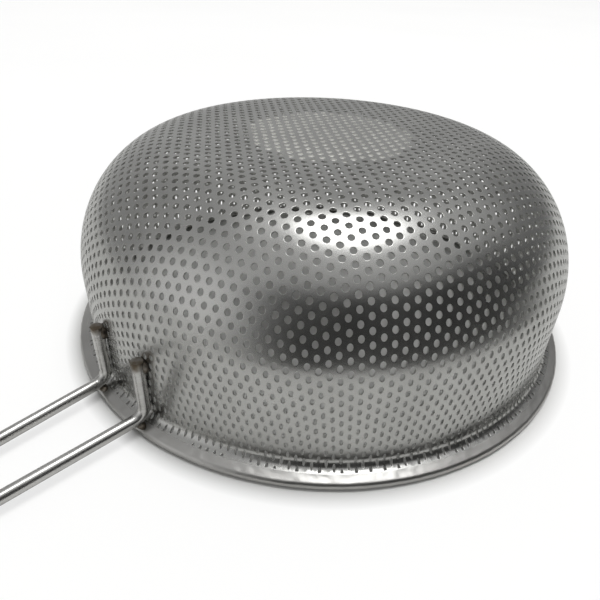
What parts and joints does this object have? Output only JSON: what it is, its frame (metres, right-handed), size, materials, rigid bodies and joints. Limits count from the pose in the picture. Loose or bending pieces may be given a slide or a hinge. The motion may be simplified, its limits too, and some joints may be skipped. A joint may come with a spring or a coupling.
{
  "type": "perforated draining bowl",
  "caption": "Round drawn bowl of perforated stainless sheet with a rolled rim and a welded wire handle, for draining curd or washed food.",
  "frame": {"origin": "on the bowl's axis, in the plane under the rolled rim, which is the mouth of the bowl", "axes": "+Z from the mouth to the closed base, so the bowl lies upside down on its rim; -X along the handle, away from the bowl; +Y by the right-hand rule"},
  "size_m": [0.342, 0.2, 0.0752],
  "materials": {
    "perforated_sheet": "satin stainless sheet",
    "wire": "polished stainless wire",
    "weld": "heat-tinted weld metal",
    "label": "matt blank paper"
  },
  "bodies": {
    "root": {"bowl": "perforated_sheet", "rim_wire": "wire", "handle_wire": "wire", "leg_welds": "weld", "rim_welds": "weld", "base_label": "label"}
  },
  "joints": []
}
